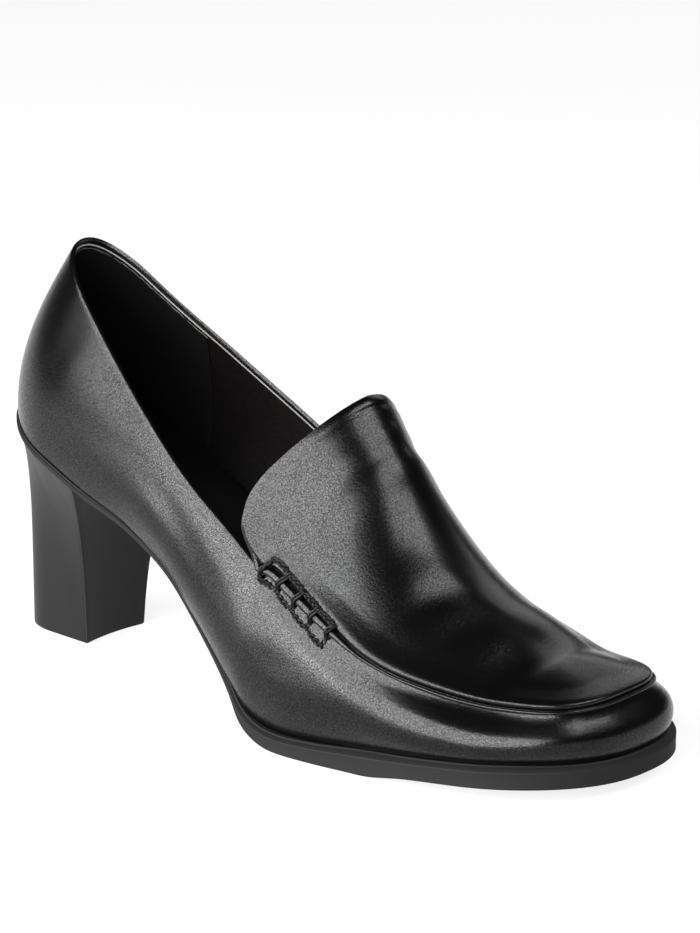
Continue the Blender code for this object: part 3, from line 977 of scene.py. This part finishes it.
def heel_side(edge_points, end_share):
    """Both sides of a rounded outline from the breast back to the heel's middle and out again."""
    turn = np.linspace(0, 1, HEEL_SIDE + 1) ** HEEL_CROWD * end_share
    outer = edge_points(turn, -1)
    inner = edge_points(turn, 1)
    return np.concatenate([outer[::-1], inner[1:]])


def base_points(share, side):
    """Points along one side of the heel's base, from its back to its breast."""
    depth = (BASE_BREAST - BASE_BACK) * share
    half = (BASE_INNER - BASE_OUTER) / 2 * rounding(depth, *BASE_ROUND)
    return np.stack([BASE_BACK + depth, (BASE_OUTER + BASE_INNER) / 2 + side * half, 0 * depth], -1)


def make_heel(sizes, colours):
    """Block heel that flares to its seat, with its cover's seams down the corners of the hollow breast."""
    top = heel_outline(heel_side(Skin(*HEEL_GRID).feather.points, BREAST_TOP / LENGTH))
    bottom = heel_outline(heel_side(base_points, 1))
    top[:, 2] = smooth(FEATHER, "tread", top[:, 0] / LENGTH) - GAP
    forward = np.clip(top[:, :1] / BREAST_TOP, 0, 1)
    rings = []
    for drop in np.linspace(0, 1, HEEL_RINGS):
        taper = smooth(HEEL_DROP, "back", drop) * (1 - forward) + smooth(HEEL_DROP, "front", drop) * forward
        ring = top * (1 - taper) + bottom * taper
        ring[:, 2] = top[:, 2] * (1 - drop)
        rings.append(ring)
    piece = weld(lay_grid("heel_block", np.array(rings), closed=True), fill=True)
    bevelled(piece, sizes.heel_edge, 3, 50)
    corners = np.array(rings)[:, [0, 2 * HEEL_SIDE]].transpose(1, 0, 2)
    corners[:, -1, 2] += SEAM_STOP
    seam = cord_piece("heel_seam", corners, sizes.edge * SEAM_THIN)
    finish_piece(seam, cut_edge(shade(colours.edge, 0.04)), "heel_cover")
    finish = Finish("heel_cover", Specular_IOR_Level=0.18)
    streak = finish.noise(120.0, 4.0, (1, 1, 0.12))
    fine = finish.noise(2200.0, 2.0)
    slow = finish.noise(60.0, 3.0)
    finish.colour(streak * 0.6 + slow * 0.4, colours.heel, 0.75, 1.3)
    finish.feed("Roughness", 0.34 + streak * 0.2)
    finish.bump(fine * 0.4 + streak * 1.4, 0.00004)
    return finish_piece(piece, finish.material, "heel_cover", "heel")


class SeamPatch:
    """The skin near the apron seam on one side, by distance along it from the throat and across it."""

    def __init__(self, skin, side):
        picked = np.arange(skin.throat, skin.throat + LADDER_STATIONS * skin.stations // STATIONS)
        ring = picked if side < 0 else 2 * skin.stations - picked
        apron = picked - skin.throat + skin.tongue_rows
        if side > 0:
            apron = skin.apron_index.shape[1] - 1 - apron
        self.ribs = np.concatenate([skin.wall_index[:, ring], skin.apron_index[1:, apron]])
        self.seam = len(skin.wall_index) - 1
        self.skin = skin
        self.station = lengths(skin.points[self.ribs[self.seam]])

    def at(self, along, across):
        """Point and normal of the skin, across from the wall (less than 0) to the apron."""
        k = np.searchsorted(self.station, along) - 1
        share = (along - self.station[k]) / (self.station[k + 1] - self.station[k])
        rib, facing = (
            values[self.ribs[:, k]] * (1 - share) + values[self.ribs[:, k + 1]] * share
            for values in (self.skin.points, self.skin.normals)
        )
        length = lengths(rib)
        wanted = [across + length[self.seam]]
        return pick(rib, length, wanted)[0], unit(pick(facing, length, wanted)[0])


def ladder_place(patch, run, out):
    """Point and normal of the skin on the ladder, in its own directions, and the height a cord rests at."""
    share = (run - LADDER_START) / LADDER
    across = LADDER_IN[0] * (1 - share) + LADDER_IN[1] * share + out
    place, normal = patch.at(run + LADDER_SLANT * out, across)
    return place, normal, smooth(REST, "lift", across)


def rail_paths(patch, side, strand):
    """Three plaited strands of a rail, bowed out between the bars and drawn in at each."""
    bay = LADDER / (BARS - 1)
    run = np.linspace(LADDER_START + RAIL_END, LADDER_START + LADDER - RAIL_END, RAIL_SAMPLES)
    share = (run - LADDER_START) / LADDER
    from_bar = np.abs((run - LADDER_START + bay / 2) % bay - bay / 2)
    pinch = np.exp(-((from_bar / RAIL_PINCH) ** 2))
    paths = []
    for k in range(3):
        turn = 2 * np.pi * (share * RAIL_TURNS * (BARS - 1) + k / 3)
        out = side * (LADDER_HALF + RAIL_BOW * (0.5 - pinch)) + RAIL_SWAY * np.sin(turn) * (1 - 0.5 * pinch)
        rise = strand * (RAIL_RISE[0] + RAIL_RISE[1] * np.sin(2 * turn)) * (1 - 0.4 * pinch)
        points = []
        for along, reach, up in zip(run, out, rise):
            place, normal, lift = ladder_place(patch, along, reach)
            points.append(place + normal * (lift + up))
        paths.append(np.array(points))
    return paths


def bar_paths(patch, run, strand, wide, turns):
    """Two strands laid side by side over the ridge, or twisted together, their ends round the rails."""
    out = np.linspace(-LADDER_HALF - BAR_OVER, LADDER_HALF + BAR_OVER, BAR_SAMPLES)
    share = np.linspace(0, 1, len(out))
    tuck = 1 - ramp(np.abs(share - 0.5), BAR_TUCK, 0.5)
    paths = []
    for k in (0, 1):
        turn = np.pi * (k + turns * share)
        points = []
        for x, t, down in zip(out, turn, tuck):
            place, normal, lift = ladder_place(patch, run + wide * np.cos(t), x)
            over_rail = BAR_OVER_RAIL * strand * math.exp(-(((abs(x) - LADDER_HALF) / BAR_OVER) ** 2))
            up = strand * (BAR_RISE[0] + BAR_RISE[1] * np.sin(t)) + over_rail
            points.append(place + normal * (lift + up * down))
        paths.append(np.array(points))
    return paths


def make_lacing(sizes, colours):
    """Cord ladders over the seam at both sides of the throat: plaited rails and laid or twisted bars."""
    skin = Skin(*FINE_GRID)
    skin.work()
    strand = sizes.strand / MM
    finish = Finish("waxed_cord", Specular_IOR_Level=0.17)
    fibre = finish.noise(2600.0, 3.0, (1, 1, 2.5))
    slow = finish.noise(300.0, 2.0)
    finish.colour(fibre, colours.cord, 0.6, 1.5)
    finish.feed("Roughness", 0.30 + slow * 0.2)
    finish.bump(fibre, 0.00006)
    made = []
    for side, node in ((-1, "side_lacing_outer"), (1, "side_lacing_inner")):
        patch = SeamPatch(skin, side)
        paths = rail_paths(patch, -1, strand) + rail_paths(patch, 1, strand)
        for bar in range(BARS):
            along = LADDER_START + BAR_END + (LADDER - 2 * BAR_END) * bar / (BARS - 1)
            laid = MIDDLE_BAR if 0 < bar < BARS - 1 else END_BAR
            paths += bar_paths(patch, along, strand, *laid)
        made.append(cord_piece(node + "_cord", paths, sizes.strand))
        finish_piece(made[-1], finish.material, "waxed_cord", node)
    return made


def cord_piece(name, paths, radius, swell=None):
    """Round strands along paths, as one mesh, thicker and thinner where asked."""
    curve = bpy.data.curves.new(name, "CURVE")
    curve.dimensions = "3D"
    curve.bevel_depth = radius
    curve.bevel_resolution = 2
    curve.use_fill_caps = True
    for path in paths:
        spline = curve.splines.new("POLY")
        spline.points.add(len(path) - 1)
        place = np.concatenate([(path + SHIFT) * MM, np.ones((len(path), 1))], axis=1)
        spline.points.foreach_set("co", place.astype(np.float32).reshape(-1))
        if swell is not None:
            spline.points.foreach_set("radius", swell.astype(np.float32))
    piece = bpy.data.objects.new(name, curve)
    bpy.context.scene.collection.objects.link(piece)
    choose(piece)
    bpy.ops.object.convert(target="MESH")
    return weld(bpy.context.object)


def cut_edge(colour):
    """Finish of a cut edge, a little fibrous."""
    finish = Finish("cut_edge", Specular_IOR_Level=0.3)
    fibre = finish.noise(3000.0, 2.0)
    finish.colour(fibre, colour, 0.5, 1.5)
    finish.feed("Roughness", 0.40 + fibre * 0.2)
    finish.bump(fibre, 0.00005)
    return finish.material


def make_edges(sizes, colours):
    """Cut edge of the lining below the collar's fold, its light grey partly the edge's own paler colour and
    partly a painted highlight.
    """
    skin = Skin(*FINE_GRID, trim=LINING_TRIM)
    skin.push(-sizes.leather / MM - sizes.lining / MM / 2 - LINING_CLEAR)
    collar = np.arange(-skin.throat + EDGE_STOP, skin.throat - EDGE_STOP + 1)
    piece = cord_piece("lining_edge", [skin.points[skin.wall_index[-1, collar]]], sizes.edge)
    # Light grey edge colour: partly a painted highlight along the lining's top edge
    return finish_piece(piece, cut_edge(colours.edge), "sock_leather")


def direction(azimuth, elevation):
    """Level azimuth from the outer side towards the toe, then elevation, as a direction."""
    a, e = math.radians(azimuth), math.radians(elevation)
    return Vector((math.sin(a) * math.cos(e), -math.cos(a) * math.cos(e), math.sin(e)))


def softbox(name, radiance, azimuth, elevation, distance, wide, high, roll):
    """A soft rectangular light that faces the shoe and stays out of the camera's sight."""
    back = direction(azimuth, elevation)
    deselect()
    bpy.ops.object.light_add(type="AREA", location=LIGHT_TARGET + back * distance)
    lamp = bpy.context.object
    lamp.name = name
    lamp.rotation_mode = "QUATERNION"
    lamp.rotation_quaternion = (-back).to_track_quat("-Z", "Y") @ Quaternion((0, 0, 1), math.radians(roll))
    lamp.data.shape = "RECTANGLE"
    lamp.data.size, lamp.data.size_y = wide, high
    lamp.data.energy = radiance * math.pi * wide * high
    lamp.visible_camera = False


def make_stage(stage):
    """Pale floor, soft boxes and the camera."""
    deselect()
    bpy.ops.mesh.primitive_plane_add(size=FLOOR_SIZE)
    floor = bpy.context.object
    floor.name = floor.data.name = "floor"
    paper = Finish("floor_paper", Roughness=0.9, Emission_Color=WHITE, Emission_Strength=stage.floor_glow)
    paper.colour(paper.noise(3.0, 2.0), WHITE[:3], 0.15, 0.17)
    floor.data.materials.append(paper.material)
    world = bpy.data.worlds.new("studio")
    world.use_nodes = True
    around = world.node_tree.nodes["Background"].inputs
    around["Color"].default_value = WHITE
    around["Strength"].default_value = stage.ambient
    bpy.context.scene.world = world
    for name, level, *place in LIGHTS:
        softbox(name, getattr(stage, level), *place)
    deselect()
    bpy.ops.object.camera_add()
    camera = bpy.context.object
    camera.name = "camera"
    back = direction(math.degrees(stage.azimuth), math.degrees(stage.elevation))
    right = Vector((math.cos(stage.azimuth), math.sin(stage.azimuth), 0))
    up = back.cross(right)
    sideways = right * math.cos(stage.roll) + up * math.sin(stage.roll)
    upward = up * math.cos(stage.roll) - right * math.sin(stage.roll)
    turn = Matrix((sideways, upward, back)).transposed().to_4x4()
    camera.matrix_world = Matrix.Translation(Vector(stage.target) + back * stage.distance) @ turn
    camera.data.sensor_width = SENSOR
    camera.data.lens = stage.lens
    camera.data.clip_start, camera.data.clip_end = CLIP
    camera.data.dof.use_dof = False
    bpy.context.scene.camera = camera
    bpy.context.scene.view_settings.view_transform = "Standard"


def number_property(name, description, default, **kind):
    return bpy.props.FloatProperty(name=name, description=description, default=default, **kind)


def length_property(name, description, default):
    return number_property(name, description, default, unit="LENGTH", precision=5)


def angle_property(name, description, degrees):
    return number_property(name, description, math.radians(degrees), subtype="ANGLE")


def level_property(name, description, default):
    return number_property(name, description, default, subtype="UNSIGNED")


def vector_property(name, description, default, **kind):
    return bpy.props.FloatVectorProperty(name=name, description=description, default=default, **kind)


def colour_property(name, description, default):
    return vector_property(name, description, default, subtype="COLOR", min=0, max=1)


class ShoeSizes(bpy.types.PropertyGroup):
    """Thicknesses of the shoe's layers, strands and edges."""

    leather: length_property("Leather", "Thickness of the outer leather", 0.0010)
    lining: length_property("Lining", "Thickness of the lining", 0.0005)
    grip: length_property("Heel grip", "Thickness of the heel grip", 0.0004)
    sock: length_property("Sock", "Thickness of the insole with its sock", 0.0020)
    strand: length_property("Strand", "Radius of one strand of the cord", 0.00039)
    heel_edge: length_property("Heel edge", "Bevel of the heel's corners", 0.00035)
    edge: length_property("Cut edge", "Radius of the lining's cut edge", 0.00028)


class ShoeColours(bpy.types.PropertyGroup):
    """Base colours of the shoe's finishes."""

    leather: colour_property("Leather", "Outer leather", (0.0008, 0.0008, 0.0008))
    lining: colour_property("Lining", "Lining and sock", (0.0015, 0.0011, 0.0010))
    grip: colour_property("Heel grip", "Heel grip", (0.0012, 0.0012, 0.0012))
    sole: colour_property("Sole", "Sole rubber", (0.0048, 0.0046, 0.0045))
    heel: colour_property("Heel", "Heel cover", (0.0034, 0.0033, 0.0032))
    cord: colour_property("Cord", "Cord", (0.0014, 0.0014, 0.0014))
    # The cut edge's light grey is partly its own paler colour and partly a painted highlight along the
    # lining's top edge; the grip's fray and the heel's seams take darker shades of it
    edge: colour_property("Cut edge", "Cut edge of the lining", (0.15, 0.145, 0.14))


class ShoeStage(bpy.types.PropertyGroup):
    """Camera and studio light."""

    azimuth: angle_property("Azimuth", "Camera azimuth", 42.0)
    elevation: angle_property("Elevation", "Camera elevation", 17.6)
    roll: angle_property("Roll", "Camera roll", 0.2)
    distance: length_property("Distance", "Camera distance from its target", 1.118)
    target: vector_property(
        "Target", "Point the camera looks at", (0.00825, 0.0046, 0.0735), subtype="TRANSLATION"
    )
    lens: number_property("Lens", "Focal length in millimetres", 146.0, unit="CAMERA")
    floor_glow: level_property("Floor glow", "Own light of the floor", 0.80)
    ambient: level_property("Ambient", "Light from all round", 0.04)
    side_light: level_property("Side light", "Brightness of the box at the outer side", 12.0)
    low_light: level_property("Low light", "Brightness of the strip along the outer side", 9.5)
    front_light: level_property("Front light", "Brightness of the box past the toe", 8.0)
    back_light: level_property("Back light", "Brightness of the panel behind", 1.3)


class ShoePiece:
    """What the operators of the pieces share."""

    bl_options = {"REGISTER", "UNDO"}
    maker = None

    def execute(self, context):
        made = type(self).maker(context.scene.shoe_sizes, context.scene.shoe_colours)
        if not made:
            raise RuntimeError(self.bl_label + " made no piece")
        return {"FINISHED"}


class SHOE_OT_upper(ShoePiece, bpy.types.Operator):
    """Makes the outer leather of the upper"""

    bl_idname = "shoe.upper"
    bl_label = "Upper"
    maker = staticmethod(make_leather)


class SHOE_OT_apron(ShoePiece, bpy.types.Operator):
    """Makes the apron and the tongue's facing"""

    bl_idname = "shoe.apron"
    bl_label = "Apron"
    maker = staticmethod(make_apron)


class SHOE_OT_lacing(ShoePiece, bpy.types.Operator):
    """Makes the cord ladders over the seam"""

    bl_idname = "shoe.lacing"
    bl_label = "Lacing"
    maker = staticmethod(make_lacing)


class SHOE_OT_lining(ShoePiece, bpy.types.Operator):
    """Makes the lining"""

    bl_idname = "shoe.lining"
    bl_label = "Lining"
    maker = staticmethod(make_lining)


class SHOE_OT_grip(ShoePiece, bpy.types.Operator):
    """Makes the heel grip and its frayed edge"""

    bl_idname = "shoe.grip"
    bl_label = "Heel grip"
    maker = staticmethod(make_grip)


class SHOE_OT_edges(ShoePiece, bpy.types.Operator):
    """Makes the cut edge of the lining"""

    bl_idname = "shoe.edges"
    bl_label = "Edges"
    maker = staticmethod(make_edges)


class SHOE_OT_sock(ShoePiece, bpy.types.Operator):
    """Makes the sock over the insole"""

    bl_idname = "shoe.sock"
    bl_label = "Sock"
    maker = staticmethod(make_sock)


class SHOE_OT_outsole(ShoePiece, bpy.types.Operator):
    """Makes the sole"""

    bl_idname = "shoe.outsole"
    bl_label = "Sole"
    maker = staticmethod(make_outsole)


class SHOE_OT_heel(ShoePiece, bpy.types.Operator):
    """Makes the block heel and the seams of its cover"""

    bl_idname = "shoe.heel"
    bl_label = "Heel"
    maker = staticmethod(make_heel)


class SHOE_OT_stage(bpy.types.Operator):
    """Makes the floor, the lights and the camera"""

    bl_idname = "shoe.stage"
    bl_label = "Stage"

    def execute(self, context):
        make_stage(context.scene.shoe_stage)
        return {"FINISHED"}


OPERATORS = (
    SHOE_OT_upper,
    SHOE_OT_apron,
    SHOE_OT_lacing,
    SHOE_OT_lining,
    SHOE_OT_grip,
    SHOE_OT_edges,
    SHOE_OT_sock,
    SHOE_OT_outsole,
    SHOE_OT_heel,
    SHOE_OT_stage,
)


class SHOE_PT_panel(bpy.types.Panel):
    """Lists the shoe's pieces, sizes and colours"""

    bl_idname = "SHOE_PT_panel"
    bl_label = "Loafer pump"
    bl_space_type = "VIEW_3D"
    bl_region_type = "UI"
    bl_category = "Shoe"

    def draw(self, context):
        for operator in OPERATORS:
            self.layout.operator(operator.bl_idname)
        for group in (context.scene.shoe_sizes, context.scene.shoe_colours, context.scene.shoe_stage):
            column = self.layout.column()
            for name in type(group).__annotations__:
                column.prop(group, name)


GROUPS = {"shoe_sizes": ShoeSizes, "shoe_colours": ShoeColours, "shoe_stage": ShoeStage}
CLASSES = (*GROUPS.values(), *OPERATORS, SHOE_PT_panel)


def register():
    for cls in CLASSES:
        bpy.utils.register_class(cls)
    for name, group in GROUPS.items():
        setattr(bpy.types.Scene, name, bpy.props.PointerProperty(type=group))


def unregister():
    for name in GROUPS:
        delattr(bpy.types.Scene, name)
    for cls in reversed(CLASSES):
        bpy.utils.unregister_class(cls)


def main():
    register()
    bpy.ops.shoe.upper()
    bpy.ops.shoe.apron()
    bpy.ops.shoe.lacing()
    bpy.ops.shoe.lining()
    bpy.ops.shoe.grip()
    bpy.ops.shoe.edges()
    bpy.ops.shoe.sock()
    bpy.ops.shoe.outsole()
    bpy.ops.shoe.heel()
    bpy.ops.shoe.stage()
    bpy.context.view_layer.update()


if __name__ == "__main__":
    main()
